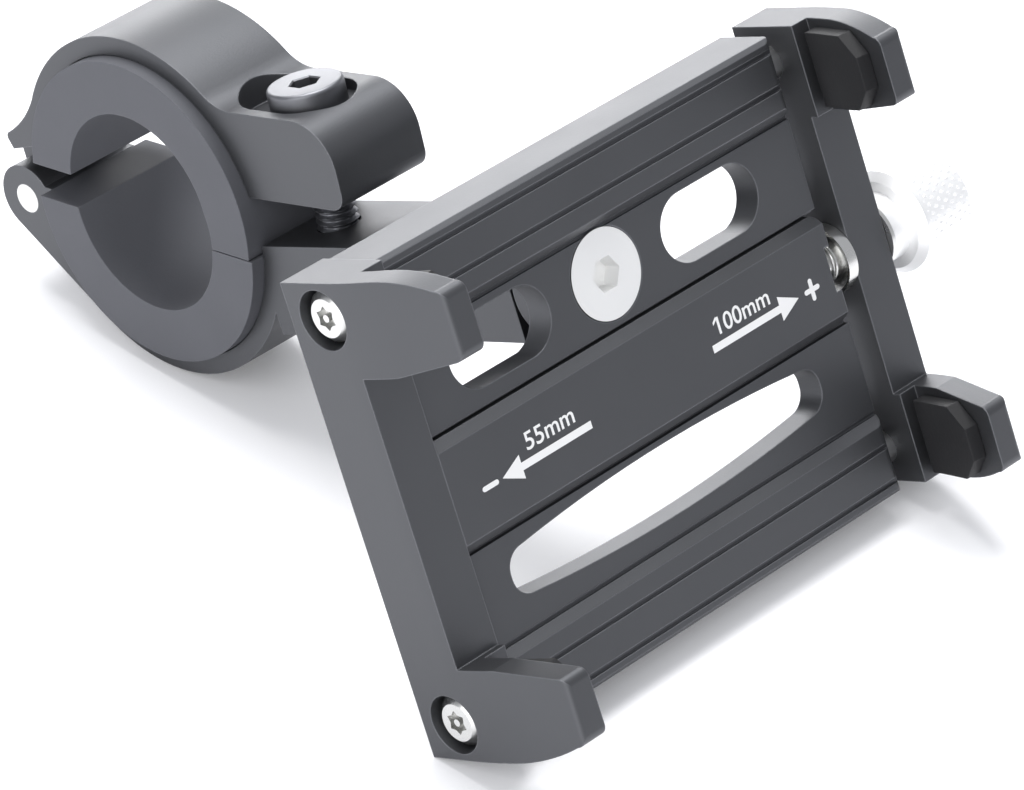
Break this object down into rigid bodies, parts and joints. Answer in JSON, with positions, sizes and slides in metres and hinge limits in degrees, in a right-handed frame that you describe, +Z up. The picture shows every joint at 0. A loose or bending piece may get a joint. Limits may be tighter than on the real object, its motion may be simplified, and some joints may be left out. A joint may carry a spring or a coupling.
{
  "type": "phone handlebar mount",
  "caption": "Metal phone cradle with a screw-driven sliding jaw and hooked arms, swivelling on a hinged ring clamp for a handlebar.",
  "frame": {"origin": "on the handlebar's axis, in the middle of the ring clamp's width", "axes": "+X along the handlebar's axis, towards the adjuster knob; +Z up; the cradle faces -Y and up, leaning back 25.3 degrees"},
  "size_m": [0.0869, 0.1168, 0.0563],
  "materials": {
    "black_anodised": "bead-blasted, matte",
    "knob_silver": "machined, bright",
    "stainless": "satin",
    "brass": "machined",
    "black_rubber": "matte",
    "black_nylon": "matte"
  },
  "bodies": {
    "clamp": {"clamp_base": "black_anodised", "hinge_pin": "stainless", "liner_lower": "black_rubber", "swivel_screw": "stainless", "swivel_washer": "black_nylon"},
    "cap": {"clamp_cap": "black_anodised"},
    "cap_liner": {"liner_upper": "black_rubber"},
    "bolt": {"clamp_bolt": "stainless"},
    "cradle": {"cradle_plate": "black_anodised", "screw_cover": "black_anodised", "cover_screws": "stainless", "lead_nut": "brass", "fixed_jaw": "black_anodised", "fixed_jaw_screws": "stainless", "fixed_pad_upper": "black_rubber", "fixed_pad_lower": "black_rubber"},
    "slider": {"sliding_jaw": "black_anodised", "guide_rod_upper": "stainless", "guide_rod_lower": "stainless", "sliding_pad_upper": "black_rubber", "sliding_pad_lower": "black_rubber", "knob_washer": "stainless"},
    "knob": {"adjuster_knob": "knob_silver", "lead_screw": "stainless", "thrust_collar": "stainless", "knob_pin": "stainless"}
  },
  "joints": [
    {"name": "cap_hinge", "type": "hinge", "parent": "clamp", "child": "cap", "pos_m": [0, 0.02084, -0.00808], "axis": [-1, 0, 0], "range_deg": [-4, 0]},
    {"name": "liner_slip", "type": "hinge", "parent": "cap", "child": "cap_liner", "pos_m": [0, 0.00061, 0.00143], "axis": [-1, 0, 0], "range_deg": [0, 12.05]},
    {"name": "clamp_bolt_travel", "type": "slide", "parent": "clamp", "child": "bolt", "axis": [0, 0.3289, 0.9444], "range_m": [-0.00352, 0]},
    {"name": "plate_swivel", "type": "hinge", "parent": "clamp", "child": "cradle", "pos_m": [0, -0.06177, 0.01908], "axis": [0, -0.9041, 0.4274], "continuous": true},
    {"name": "jaw_slide", "type": "slide", "parent": "cradle", "child": "slider", "axis": [1, 0, 0], "range_m": [-0.002, 0.043]},
    {"name": "knob_turn", "type": "hinge", "parent": "slider", "child": "knob", "pos_m": [0.04, -0.06494, 0.00675], "axis": [1, 0, 0], "range_deg": [-901, 19351]}
  ],
  "couplings": [
    {"joint": "liner_slip", "follows": "cap_hinge", "ratio": -3},
    {"joint": "clamp_bolt_travel", "follows": "cap_hinge", "m_per_rad": 0.050134},
    {"joint": "knob_turn", "follows": "jaw_slide", "rad_per_m": 7854}
  ]
}
